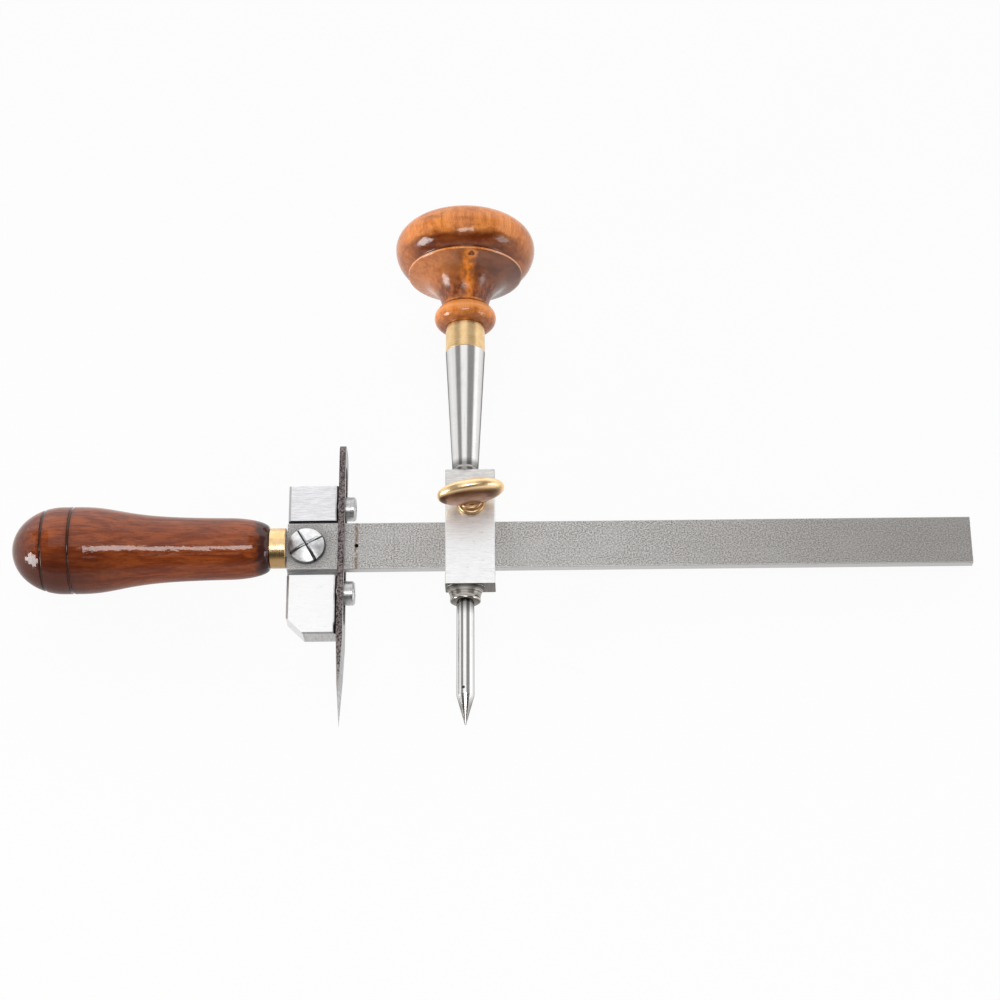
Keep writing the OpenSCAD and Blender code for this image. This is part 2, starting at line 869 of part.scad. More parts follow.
beam_bar();
handle_grip();
handle_ferrule();
blade_holder();
holder_screw();
blade();
blade_screw_upper();
blade_screw_lower();
head_block();
clamp_plate();
thumb_screw();
spindle();
knob_ferrule();
palm_knob();
centre_pin();
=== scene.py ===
"""Looks of the circle cutter: materials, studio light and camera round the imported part."""

import json
import math

import bmesh
import bpy
from mathutils import Matrix, Vector


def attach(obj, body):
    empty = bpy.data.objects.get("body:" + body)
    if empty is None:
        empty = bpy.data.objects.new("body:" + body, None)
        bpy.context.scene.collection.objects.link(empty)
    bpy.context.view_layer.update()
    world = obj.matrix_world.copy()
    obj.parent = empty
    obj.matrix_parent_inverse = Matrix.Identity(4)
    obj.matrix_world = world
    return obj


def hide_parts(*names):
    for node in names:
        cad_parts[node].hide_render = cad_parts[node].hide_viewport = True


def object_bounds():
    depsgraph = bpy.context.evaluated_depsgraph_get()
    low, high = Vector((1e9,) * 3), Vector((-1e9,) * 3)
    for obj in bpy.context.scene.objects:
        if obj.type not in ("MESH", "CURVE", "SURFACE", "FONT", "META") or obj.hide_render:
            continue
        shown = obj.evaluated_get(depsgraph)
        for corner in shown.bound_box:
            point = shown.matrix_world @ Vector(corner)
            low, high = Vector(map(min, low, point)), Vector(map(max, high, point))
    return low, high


MM = 0.001

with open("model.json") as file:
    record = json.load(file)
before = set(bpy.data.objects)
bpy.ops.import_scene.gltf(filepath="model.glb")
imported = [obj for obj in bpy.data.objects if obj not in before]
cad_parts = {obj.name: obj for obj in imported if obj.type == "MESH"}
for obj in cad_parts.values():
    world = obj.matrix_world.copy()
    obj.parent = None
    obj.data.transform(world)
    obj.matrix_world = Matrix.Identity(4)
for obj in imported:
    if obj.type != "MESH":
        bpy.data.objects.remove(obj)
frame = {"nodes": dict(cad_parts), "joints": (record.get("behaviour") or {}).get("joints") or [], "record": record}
cad_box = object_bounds()
nodes = frame["nodes"]
joints = {joint["name"]: joint for joint in frame["joints"]}

# The tool's own axes, as in the CAD source: X along the beam, Y up the spindle and Z out of the
# beam's face. The thumb screw's axis crosses the head's front face at a known place, and that
# gives the origin.
THUMB_SCREW_AT = Vector((2.5, 17, 5)) * MM
tool_axes = Matrix(
    [joints[name]["axis"] for name in ("head_slide", "blade_height", "thumb_screw_turn")]
).transposed()
tool_origin = Vector(joints["thumb_screw_turn"]["pos_m"]) - tool_axes @ THUMB_SCREW_AT
tool_to_row = Matrix.Translation(tool_origin) @ tool_axes.to_4x4()
row_to_tool = tool_to_row.inverted()

# Places and sizes on the tool that the materials and pieces follow, in millimetres
BEAM_HALF_W = 10
BEAM_FACE_Z = 2
BUTT_X = -181.6
GROOVES = (13.7, 24.8)  # from the butt
FERRULE_X = -78.2
INDEX_X = -43.5
SECOND_SCRIBE_X = -28.5
HOLDER_SCREW = (-63.5, 0, BEAM_FACE_Z)
HOLDER_SCREW_R = 7.2
SLOT_TURN = math.radians(30)
SLOT_HALF = 0.65
CHANNEL_MID = 10.9
BLADE_POINT_Y = -40
BOSS_TOP_Y = -17.8
BOSS_L = 6.4
PIN_SHOULDER_Y = -63.3
PIN_DIMPLE = (-0.7, -60.8, 3.4)
NECK_FOOT_Y = 33
BEAD_TOP_Y = 107.3
CAD_RIDGE_Y = 126
RIDGE_DROP = 1.8  # how much lower than in the CAD the knob's ridge is turned
RIDGE_Y = CAD_RIDGE_Y - RIDGE_DROP
CROWN_PIT_R = 1.85  # just inside the pit in the CAD's crown
KNOT = (3.0, 122.5, 21.1)

WELD = 1e-6
SHARP_ANGLE = math.radians(32)
IMAGE_PX = 1000


class Nodes:
    """Short ways to lay out a node tree."""

    def __init__(self, tree):
        self.tree = tree

    def node(self, kind, inputs=(), **settings):
        made = self.tree.nodes.new(kind)
        for key, value in settings.items():
            setattr(made, key, value)
        for key, value in dict(inputs).items():
            self.feed(made.inputs[key], value)
        return made

    def feed(self, socket, value):
        if isinstance(value, bpy.types.NodeSocket):
            self.tree.links.new(value, socket)
        else:
            socket.default_value = value

    def mapped(self, vector, scale=(1, 1, 1), turn=(0, 0, 0), shift=(0, 0, 0)):
        inputs = {"Vector": vector, "Scale": scale, "Rotation": turn, "Location": shift}
        return self.node("ShaderNodeMapping", inputs).outputs["Vector"]

    def split(self, vector):
        return self.node("ShaderNodeSeparateXYZ", {"Vector": vector}).outputs[:]

    def math(self, operation, *values):
        return self.node(
            "ShaderNodeMath", dict(enumerate(values)), operation=operation
        ).outputs[0]

    def both(self, *masks):
        """Product of masks."""
        made = masks[0]
        for mask in masks[1:]:
            made = self.math("MULTIPLY", made, mask)
        return made

    def highest(self, *levels):
        made = levels[0]
        for level in levels[1:]:
            made = self.math("MAXIMUM", made, level)
        return made

    def ramp(self, value, low, high, start=0.0, end=1.0):
        """Carries value smoothly from low..high to start..end."""
        inputs = {"Value": value, "From Min": low, "From Max": high, "To Min": start, "To Max": end}
        return self.node(
            "ShaderNodeMapRange", inputs, interpolation_type="SMOOTHSTEP"
        ).outputs["Result"]

    def near(self, value, at, half, soft):
        """1 within half of a place on one axis, fading over soft."""
        off = self.math("ABSOLUTE", self.math("SUBTRACT", value, at))
        return self.ramp(off, half, half + soft, 1.0, 0.0)


class Shader(Nodes):
    """A node material laid out in the tool's axes, in millimetres."""

    def __init__(self, name, metallic=0.0):
        self.material = bpy.data.materials.new(name)
        self.material.use_nodes = True
        super().__init__(self.material.node_tree)
        self.surface = self.tree.nodes["Principled BSDF"]
        self.surface.inputs["Metallic"].default_value = metallic
        coords = self.node("ShaderNodeTexCoord")
        self.place = self.mapped(
            coords.outputs["Object"],
            scale=(1 / MM,) * 3,
            turn=row_to_tool.to_euler(),
            shift=row_to_tool.translation / MM,
        )
        self.x, self.y, self.z = self.split(self.place)
        normal = self.mapped(coords.outputs["Normal"], turn=row_to_tool.to_euler())
        self.normal_x, self.normal_y, self.normal_z = self.split(normal)

    def distance(self, point, stretch=(1, 1, 1)):
        """Distance from a point of the tool, with each axis stretched."""
        shift = [-p * s for p, s in zip(point, stretch)]
        offset = self.mapped(self.place, scale=stretch, shift=shift)
        return self.node(
            "ShaderNodeVectorMath", {0: offset}, operation="LENGTH"
        ).outputs["Value"]

    def noise(self, size, detail=3.0, rough=0.55, bend=0.0, seed=0.0):
        """Noise whose blotches are about size millimetres along each axis."""
        vector = self.mapped(
            self.place, scale=[1 / s for s in size], shift=(seed, seed * 2.3, seed * 3.7)
        )
        inputs = {
            "Vector": vector,
            "Scale": 1.0,
            "Detail": detail,
            "Roughness": rough,
            "Distortion": bend,
        }
        return self.node("ShaderNodeTexNoise", inputs).outputs["Fac"]

    def mix(self, share, a, b):
        made = self.node("ShaderNodeMix", data_type="RGBA")
        self.feed(made.inputs["Factor"], share)
        self.feed(made.inputs["A"], a)
        self.feed(made.inputs["B"], b)
        return made.outputs["Result"]

    def bump(self, height, depth, socket="Normal"):
        """Adds relief of about depth millimetres."""
        below = self.surface.inputs[socket]
        inputs = {"Height": height, "Distance": depth * MM}
        if below.is_linked:
            inputs["Normal"] = below.links[0].from_socket
        self.feed(below, self.node("ShaderNodeBump", inputs).outputs["Normal"])

    def set(self, **values):
        for key, value in values.items():
            self.feed(self.surface.inputs[key.replace("_", " ")], value)


def grey(tone, warmth=0.0):
    return (tone * (1 + warmth), tone, tone * (1 - warmth), 1.0)


def stretched(axis, along, across):
    """Sizes with one length along an axis of the tool and another across it."""
    return [along if letter == axis else across for letter in "xyz"]


def beam_steel():
    """Mill-finish bar: fine speckle, faint drawing lines, a rusty scribe at the index mark."""
    s = Shader("beam_mill_steel", metallic=1.0)
    grain = s.noise((0.62, 0.5, 0.5), detail=3, rough=0.7)
    cloud = s.noise((18, 6, 6), detail=3)
    drawn = s.noise((70, 0.7, 0.7), detail=3, rough=0.6, seed=4)
    tone = s.mix(s.ramp(grain, 0.34, 0.66), grey(0.18, 0.035), grey(0.68, 0.025))
    tone = s.mix(s.ramp(cloud, 0.4, 0.75, 0.0, 0.3), tone, grey(0.56, 0.01))
    tone = s.mix(s.ramp(drawn, 0.55, 0.75, 0.0, 0.2), tone, grey(0.27, 0.02))
    tone = s.mix(s.ramp(s.x, 40, 190, 0.0, 0.55), tone, grey(0.22, 0.06))
    # Painted highlight along both rounded edges, painted shade round the holder screw's head, and a painted
    # contact shadow on its lower right
    edge = s.ramp(s.math("ABSOLUTE", s.y), BEAM_HALF_W - 0.5, BEAM_HALF_W - 0.2)
    tone = s.mix(s.both(edge, 0.7), tone, grey(0.62, 0.01))
    off_screw = s.math("SUBTRACT", s.distance(HOLDER_SCREW), HOLDER_SCREW_R)
    tone = s.mix(s.ramp(off_screw, 0.3, 5.8, 0.45, 0.0), tone, grey(0.2, 0.03))
    lower_right = s.ramp(s.math("SUBTRACT", s.x, s.y), HOLDER_SCREW[0] - 3, HOLDER_SCREW[0] + 4)
    contact_shadow = s.both(s.ramp(off_screw, 0.2, 1.1, 0.85, 0.0), lower_right)
    tone = s.mix(contact_shadow, tone, grey(0.03))
    # Rust along the index mark, a second scribed line and the index pip
    front = s.ramp(s.z, BEAM_FACE_Z - 0.4, BEAM_FACE_Z - 0.1)
    ragged = s.noise((0.8, 1.5, 0.8), detail=4, rough=0.75, seed=7)
    wander = s.math("MULTIPLY_ADD", ragged, 1.4, -0.7)
    rust = s.near(s.math("ADD", s.x, wander), INDEX_X, 0.3, 0.7)
    rust = s.both(rust, s.ramp(ragged, 0.36, 0.62), front, 0.85)
    tone = s.mix(rust, tone, (0.2, 0.105, 0.035, 1))
    scribe = s.both(s.near(s.x, SECOND_SCRIBE_X, 0.06, 0.14), front, 0.5)
    tone = s.mix(scribe, tone, grey(0.16))
    pip = s.ramp(s.distance((INDEX_X, 0, BEAM_FACE_Z)), 0.7, 0.95, 1.0, 0.0)
    tone = s.mix(pip, tone, grey(0.01))
    s.set(Base_Color=tone, Roughness=s.ramp(grain, 0.2, 0.8, 0.44, 0.58))
    s.bump(grain, 0.012)
    return s.material


def lacquered_wood(name, along, fineness, ripple, dark, mid, light):
    """Stained wood with its grain along one axis of the tool, under rippled gloss lacquer."""
    s = Shader(name)
    figure = s.noise(stretched(along, 16, 2.2), detail=4, bend=0.6)
    fibre = s.noise(stretched(along, 6, fineness), rough=0.7, seed=3)
    pores = s.noise(stretched(along, 1.5, 0.3), detail=2, seed=12)
    tone = s.mix(s.ramp(figure, 0.32, 0.66), mid, light)
    tone = s.mix(s.ramp(fibre, 0.47, 0.7, 0.0, 0.6), tone, dark)
    tone = s.mix(s.ramp(pores, 0.56, 0.74, 0.0, 0.55), tone, dark)
    s.set(Roughness=0.55, Specular_IOR_Level=0.0, Coat_IOR=1.46)
    s.bump(fibre, 0.02)
    waves = ((ripple, 9, 0.05), ((7, 4, 4), 15, 0.08), ((0.9, 0.8, 0.8), 19, 0.018))
    for size, seed, depth in waves:
        s.bump(s.noise(size, detail=2, seed=seed), depth, "Coat Normal")
    return s, tone


def handle_wood():
    """Dark red-brown handle: painted shade underneath, deepest towards the butt, stain at both ends, and two burnt
    grooves.
    """
    s, tone = lacquered_wood(
        "handle_lacquered_wood",
        along="x",
        fineness=0.6,
        ripple=(2.6, 1.6, 1.6),
        dark=(0.075, 0.013, 0.005, 1),
        mid=(0.18, 0.03, 0.006, 1),
        light=(0.345, 0.076, 0.015, 1),
    )
    ragged = s.math("MULTIPLY_ADD", s.noise((3, 2.5, 2.5), seed=5), 5.0, -2.5)
    # Dark stain for the end grain, also used as painted shade underneath, strongest towards the butt
    stain_and_shade = (0.055, 0.011, 0.005, 1)
    toward_butt = s.ramp(s.math("MULTIPLY_ADD", ragged, 4.0, s.x), -165, -125, 1.0, 0.35)
    under = s.ramp(s.normal_y, -0.85, 0.05, 0.95, 0.0)
    tone = s.mix(s.both(under, toward_butt), tone, stain_and_shade)
    stained = s.ramp(s.math("ADD", s.x, ragged), FERRULE_X - 6.5, FERRULE_X - 3, 0.0, 0.88)
    tone = s.mix(stained, tone, (0.028, 0.011, 0.012, 1))
    burnt = (0.045, 0.014, 0.008, 1)
    for groove in GROOVES:
        tone = s.mix(s.near(s.x, BUTT_X + groove, 0.22, 0.35), tone, burnt)
        singed = s.near(s.math("MULTIPLY_ADD", ragged, 0.25, s.x), BUTT_X + groove, 0.6, 1.6)
        tone = s.mix(s.both(singed, 0.3), tone, burnt)
    end_grain = s.ramp(s.x, BUTT_X + 2, BUTT_X + 16, 0.8, 0.0)
    tone = s.mix(end_grain, tone, stain_and_shade)
    thin_below = s.ramp(s.normal_y, -0.95, -0.35, 0.55, 1.0)
    s.set(Base_Color=tone, Coat_Weight=thin_below, Coat_Roughness=0.06)
    return s.material


def knob_wood():
    """Honey-brown knob: a dark band of stain and painted shade over the ridge, painted glints on the ridge,
    painted shade on the flare and bead, and a run below a knot.
    """
    s, tone = lacquered_wood(
        "knob_lacquered_wood",
        along="y",
        fineness=0.42,
        ripple=(1.6, 1.6, 1.6),
        dark=(0.4, 0.1, 0.02, 1),
        mid=(0.68, 0.205, 0.043, 1),
        light=(0.88, 0.315, 0.078, 1),
    )
    umber = (0.11, 0.016, 0.002, 1)
    russet = (0.3, 0.075, 0.016, 1)
    honey = (0.84, 0.25, 0.03, 1)
    wander = s.math("MULTIPLY_ADD", s.noise((7, 3, 7), bend=0.5, seed=11), 6.0, -3.0)
    height = s.math("ADD", s.y, wander)
    outward = s.math("ADD", s.distance((0, 0, 0), (1, 0, 1)), wander)
    aside = s.math("ABSOLUTE", s.x)
    above_bead = s.ramp(s.y, BEAD_TOP_Y, BEAD_TOP_Y + 1)
    # Blotches, painted shade darker to the sides, and the band over the ridge, partly dark stain and partly
    # painted shade
    blotch = s.noise((9, 4, 9), detail=4, rough=0.6, bend=0.4, seed=17)
    tone = s.mix(s.ramp(blotch, 0.5, 0.74, 0.0, 0.6), tone, russet)
    tone = s.mix(s.ramp(aside, 20, 29, 0.0, 0.45), tone, russet)
    band = s.both(
        s.ramp(height, RIDGE_Y + 3.4, RIDGE_Y + 8.4, 0.97, 0.0),
        s.ramp(s.y, RIDGE_Y, RIDGE_Y + 0.4),
        s.ramp(s.math("ADD", aside, wander), 15, 28, 1.0, 0.35),
        s.ramp(blotch, 0.25, 0.6, 0.85, 1.0),
    )
    tone = s.mix(band, tone, umber)
    # Painted shade on the flare below the ridge, darker to the right, and mottled towards the stem, partly blotchy
    # wood and partly painted shade
    flare = s.both(
        s.ramp(s.y, RIDGE_Y - 1.0, RIDGE_Y - 0.6, 1.0, 0.0),
        s.ramp(height, BEAD_TOP_Y, BEAD_TOP_Y + 2.5),
    )
    across_flare = s.math("MULTIPLY_ADD", wander, 2.2, s.x)
    flare_shade = s.mix(s.ramp(blotch, 0.3, 0.65), (0.09, 0.028, 0.014, 1), (0.2, 0.062, 0.026, 1))
    tone = s.mix(s.both(flare, s.ramp(across_flare, -17, 7, 0.35, 0.95)), tone, flare_shade)
    mottle = s.ramp(s.noise((2.4, 5, 2.4), detail=4, rough=0.65, seed=26), 0.4, 0.62)
    mottle = s.mix(mottle, (0.1, 0.02, 0.006, 1), (0.4, 0.11, 0.028, 1))
    tone = s.mix(s.both(flare, s.ramp(outward, 10.5, 15, 0.8, 0.0)), tone, mottle)
    # Painted glints along the ridge, and on the bead a painted highlight on top with painted shade where it meets
    # the stem and on its lower part
    ridge_glint = s.both(s.near(s.y, RIDGE_Y - 0.3, 0.25, 0.35), s.ramp(aside, 7, 14, 0.0, 0.75))
    tone = s.mix(ridge_glint, tone, (0.95, 0.52, 0.3, 1))
    crease_shade = s.near(s.y, BEAD_TOP_Y, 0.3, 0.9)
    tone = s.mix(s.both(crease_shade, 0.8), tone, umber)
    lit_bead = s.both(s.near(s.y, BEAD_TOP_Y - 2.6, 1, 2.2), 0.75)
    tone = s.mix(lit_bead, tone, (0.9, 0.34, 0.09, 1))
    bead_foot_shade = s.ramp(height, BEAD_TOP_Y - 10, BEAD_TOP_Y - 5, 0.85, 0.0)
    tone = s.mix(bead_foot_shade, tone, umber)
    # The run and the knot above it
    drift = s.math("MULTIPLY_ADD", s.noise((5, 4, 5), detail=4, rough=0.65, seed=8), 7.0, -3.5)
    off_run = s.math("ABSOLUTE", s.math("ADD", s.math("SUBTRACT", s.x, 1.6), drift))
    run = s.both(
        s.ramp(off_run, 0.0, 4.0, 0.95, 0.0),
        s.ramp(s.noise((2, 3.5, 3), detail=4, rough=0.7, seed=30), 0.36, 0.6, 0.25, 1.0),
        s.ramp(s.y, KNOT[1], KNOT[1] + 2.5, 1.0, 0.0),
        above_bead,
        s.ramp(s.z, 2, 6),
    )
    tone = s.mix(run, tone, honey)
    knot = s.math("MULTIPLY_ADD", s.noise((1.6, 2.2, 1.6), seed=21), 2.4, s.distance(KNOT))
    tone = s.mix(s.ramp(knot, 2.9, 4.6, 0.9, 0.0), tone, (0.66, 0.22, 0.04, 1))
    tone = s.mix(s.ramp(knot, 2.1, 2.9, 0.92, 0.0), tone, (0.1, 0.024, 0.008, 1))
    tone = s.mix(s.ramp(knot, 1.2, 1.8, 0.7, 0.0), tone, (0.3, 0.08, 0.02, 1))
    stem = s.both(s.ramp(outward, 10, 14, 1.0, 0.0), above_bead)
    gloss = s.math("MULTIPLY_ADD", stem, 0.14, 0.14)
    s.set(Base_Color=tone, Coat_Weight=1.0, Coat_Roughness=gloss)
    return s.material


def turned_brass(name, along, rough, shade_below):
    """Ferrule tube with turning lines round it, with painted shade underneath."""
    s = Shader(name, metallic=1.0)
    lines = s.noise(stretched(along, 0.3, 60), detail=3, rough=0.65)
    cloud = s.noise((3, 3, 3), detail=3, seed=5)
    tone = s.mix(s.ramp(cloud, 0.3, 0.75), (0.8, 0.54, 0.26, 1), (0.95, 0.68, 0.37, 1))
    tone = s.mix(s.ramp(lines, 0.5, 0.8, 0.0, 0.3), tone, (0.6, 0.38, 0.17, 1))
    tone = s.mix(s.ramp(s.normal_y, -0.85, -0.3, shade_below, 0.0), tone, (0.24, 0.125, 0.045, 1))
    s.set(Base_Color=tone, Roughness=s.ramp(lines, 0.3, 0.8, rough, rough + 0.12))
    s.bump(lines, 0.002)
    return s.material


def cast_brass():
    """Cast, tumbled thumb screw, with painted shade underneath and on the collar beneath its plate."""
    s = Shader("cast_brass", metallic=1.0)
    cloud = s.noise((3.5, 3.5, 3.5), detail=3, seed=5)
    tone = s.mix(s.ramp(cloud, 0.3, 0.75), (0.98, 0.66, 0.35, 1), (1.0, 0.77, 0.46, 1))
    # Painted shade on the faces that look down
    below = s.ramp(s.normal_y, -0.97, -0.78, 1.0, 0.0)
    brass_shade_below = s.both(below, s.ramp(cloud, 0.2, 0.6, 0.93, 0.99))
    tone = s.mix(brass_shade_below, tone, (0.15, 0.055, 0.02, 1))
    # Painted shade on the collar beneath the plate
    collar = s.ramp(s.z, 9.4, 10.4, 0.65, 0.0)
    tone = s.mix(collar, tone, (0.25, 0.12, 0.05, 1))
    s.set(Base_Color=tone, Roughness=s.ramp(cloud, 0.3, 0.8, 0.28, 0.38))
    s.bump(s.noise((2.6, 2.6, 2.6), detail=2, seed=8), 0.05)
    return s.material


def filed_steel(name, along, low, high, rough):
    """Bright steel with file or brush marks along one axis of the tool."""
    s = Shader(name, metallic=1.0)
    marks = s.noise(stretched(along, 4.5, 0.3), detail=4, rough=0.75, bend=0.5)
    cloud = s.noise((7, 5, 7), detail=3, seed=5)
    deep = s.noise(stretched(along, 2.6, 0.4), detail=2, bend=0.4, seed=2)
    tone = s.mix(s.ramp(marks, 0.34, 0.66), low, high)
    tone = s.mix(s.ramp(cloud, 0.45, 0.75, 0.0, 0.45), tone, high)
    tone = s.mix(s.ramp(deep, 0.6, 0.76, 0.0, 0.6), tone, grey(0.4, 0.02))
    s.set(Roughness=s.ramp(marks, 0.3, 0.75, rough, rough + 0.14))
    s.bump(marks, 0.006)
    return s, tone, marks


def head_steel():
    """Filed block, darker at the top, with painted shade on its lower faces and where the boss meets the block,
    and a turned, darker boss.
    """
    s, tone, marks = filed_steel("head_filed_steel", "x", grey(0.82), grey(0.97), 0.36)
    # Darker at the top of the block
    stain = s.mix(s.ramp(marks, 0.35, 0.65), grey(0.48, 0.03), grey(0.74, 0.03))
    tone = s.mix(s.ramp(s.y, 20, 25, 0.0, 0.85), tone, stain)
    turned = s.noise((40, 0.35, 40), rough=0.65, seed=9)
    boss = s.mix(s.ramp(turned, 0.35, 0.65), grey(0.14, 0.12), grey(0.6, 0.07))
    # Painted shade at the top of the boss, where it meets the block
    cove_shade = s.ramp(s.y, BOSS_TOP_Y - 2.6, BOSS_TOP_Y - 0.6, 0.0, 0.95)
    boss = s.mix(cove_shade, boss, grey(0.05, 0.2))
    tone = s.mix(s.ramp(s.y, BOSS_TOP_Y - 0.06, BOSS_TOP_Y, 0.97, 0.0), tone, boss)
    # Painted shade on the faces that look down
    underside_speckle = s.noise((0.5, 3, 6), rough=0.7, seed=6)
    head_underside_shade = s.mix(s.ramp(underside_speckle, 0.3, 0.7), grey(0.06, 0.14), grey(0.16, 0.12))
    tone = s.mix(s.ramp(s.normal_y, -0.95, -0.6, 0.95, 0.0), tone, head_underside_shade)
    gloss = s.ramp(s.y, BOSS_TOP_Y - 3, BOSS_TOP_Y - 1, 0.12, 0.34)
    s.set(Base_Color=tone, Roughness=s.math("MULTIPLY_ADD", marks, 0.14, gloss))
    return s.material


def holder_metal():
    """Bright holder: scratched upper land, plainer lower one, and painted shade on its lower and left faces, in
    the groove where the beam lies and in the gap by the blade.
    """
    s, tone, marks = filed_steel("holder_bright_steel", "x", grey(0.86), grey(0.98), 0.34)
    scratched = s.mix(s.ramp(marks, 0.4, 0.62), (0.66, 0.655, 0.68, 1), (0.91, 0.905, 0.935, 1))
    tone = s.mix(s.ramp(s.y, -2, 2, 0.0, 0.9), tone, scratched)
    tone = s.mix(s.ramp(s.y, -8, -4, 0.6, 0.0), tone, grey(0.95))
    underside_speckle = s.noise((0.6, 3, 3), rough=0.7, seed=6)
    # Painted shade on the faces that look down
    holder_underside_shade = s.mix(s.ramp(underside_speckle, 0.3, 0.7), grey(0.36, 0.02), grey(0.56, 0.01))
    tone = s.mix(s.ramp(s.normal_y, -0.85, -0.5, 0.6, 0.0), tone, holder_underside_shade)
    tone = s.mix(s.ramp(s.normal_y, -0.95, -0.85, 0.9, 0.0), tone, holder_underside_shade)
    # Painted shade in the groove where the beam lies and in the gap by the blade
    shade_black = grey(0.015)
    channel_shade = s.both(
        s.near(s.math("ABSOLUTE", s.y), CHANNEL_MID, 0.86, 0.05),
        s.ramp(s.z, 0.2, 0.42, 1.0, 0.0),
        s.ramp(s.y, -1, 1, 0.65, 1.0),
    )
    tone = s.mix(channel_shade, tone, shade_black)
    blade_gap_shade = s.both(s.ramp(s.normal_x, 0.3, 0.5), s.ramp(s.z, -0.1, 0.1, 1.0, 0.0))
    tone = s.mix(blade_gap_shade, tone, shade_black)
    # Painted shade on the left faces
    left_side_shade = s.both(s.ramp(s.normal_x, -0.6, -0.4, 0.6, 0.0), s.ramp(s.normal_y, -0.6, -0.4))
    tone = s.mix(left_side_shade, tone, grey(0.3))
    s.set(Base_Color=tone)
    return s.material


def polished_steel():
    """Turned and polished neck and pin, with a painted dark reflection along the flanks and a painted shadow where
    the pin meets the boss.
    """
    s = Shader("polished_turned_steel", metallic=1.0)
    rings = s.noise((60, 0.3, 60), detail=4, rough=0.7)
    drag = s.noise((0.5, 14, 0.5), detail=3, rough=0.65, seed=6)
    cloud = s.noise((4, 9, 4), detail=3, seed=3)
    tone = s.mix(s.ramp(s.y, -20, 30), grey(0.96, 0.015), grey(0.86, 0.015))
    tone = s.mix(s.ramp(rings, 0.45, 0.8, 0.0, 0.5), tone, grey(0.66, 0.02))
    tone = s.mix(s.ramp(cloud, 0.5, 0.8, 0.0, 0.35), tone, grey(0.66, 0.03))
    tone = s.mix(s.ramp(drag, 0.6, 0.8, 0.0, 0.35), tone, grey(0.5, 0.04))
    dimple = s.ramp(s.distance(PIN_DIMPLE), 0.45, 0.8, 0.95, 0.0)
    tone = s.mix(dimple, tone, grey(0.03))
    turned_foot = s.both(s.near(s.y, NECK_FOOT_Y, 1.6, 3), s.ramp(rings, 0.35, 0.6, 0.6, 0.95))
    tone = s.mix(turned_foot, tone, grey(0.22, 0.05))
    # Painted dark reflection along the flanks, and a painted shadow where the pin meets the boss
    flank_dark_reflection = s.ramp(s.math("ABSOLUTE", s.normal_x), 0.93, 0.99, 0.0, 0.8)
    tone = s.mix(flank_dark_reflection, tone, grey(0.2, 0.05))
    seat_shadow = s.both(s.ramp(s.y, -31, BOSS_TOP_Y - BOSS_L, 0.0, 0.9), s.ramp(s.y, -10, 0, 1.0, 0.0))
    tone = s.mix(seat_shadow, tone, grey(0.1, 0.1))
    ground = s.mix(s.ramp(drag, 0.35, 0.65), grey(0.16, 0.08), grey(0.3, 0.05))
    tone = s.mix(s.ramp(s.y, PIN_SHOULDER_Y - 5, PIN_SHOULDER_Y + 1, 0.8, 0.0), tone, ground)
    gloss = s.ramp(s.y, 0, 30, 0.06, 0.14)
    s.set(Base_Color=tone, Roughness=s.math("MULTIPLY_ADD", drag, 0.12, gloss))
    s.set(Specular_Tint=grey(0.35))
    s.bump(rings, 0.002)
    s.bump(drag, 0.003)
    return s.material


def plated_steel():
    """Holder screw, with painted shade in its crossed slots."""
    s = Shader("plated_screw_steel", metallic=1.0)
    stain = s.noise((1.8, 1.8, 1.8), detail=4, rough=0.65, seed=4)
    scuff = s.noise((3.5, 0.35, 0.35), detail=3, rough=0.65)
    tone = s.mix(s.ramp(stain, 0.35, 0.7), grey(0.66, -0.01), grey(0.9, -0.005))
    tone = s.mix(s.ramp(scuff, 0.58, 0.75, 0.0, 0.4), tone, grey(0.45))
    centred = s.mapped(s.place, shift=[-p for p in HOLDER_SCREW])
    across, along, _ = s.split(s.mapped(centred, turn=(0, 0, -SLOT_TURN)))
    off_slot = s.math("MINIMUM", s.math("ABSOLUTE", across), s.math("ABSOLUTE", along))
    # Painted shade in the slots, wider in the left and lower arms
    wider_slot_shade = s.ramp(s.math("ADD", across, along), -4, -0.5, 0.3, 0.0)
    off_slot = s.math("SUBTRACT", off_slot, wider_slot_shade)
    slot = s.ramp(off_slot, SLOT_HALF - 0.35, SLOT_HALF - 0.25, 0.96, 0.0)
    tone = s.mix(slot, tone, grey(0.025))
    s.set(Base_Color=tone, Roughness=s.ramp(stain, 0.3, 0.8, 0.36, 0.5))
    s.bump(stain, 0.02)
    return s.material


def screw_steel():
    """Plain turned blade screws."""
    s = Shader("plain_screw_steel", metallic=1.0)
    lines = s.noise((0.3, 14, 14), detail=3, rough=0.65)
    stain = s.noise((1.6, 1.6, 1.6), detail=4, rough=0.6, seed=3)
    tone = s.mix(s.ramp(lines, 0.35, 0.7), grey(0.45), grey(0.66))
    tone = s.mix(s.ramp(stain, 0.5, 0.75, 0.0, 0.6), tone, grey(0.22, 0.03))
    s.set(Base_Color=tone, Roughness=s.ramp(lines, 0.3, 0.8, 0.28, 0.42))
    s.bump(lines, 0.006)
    return s.material


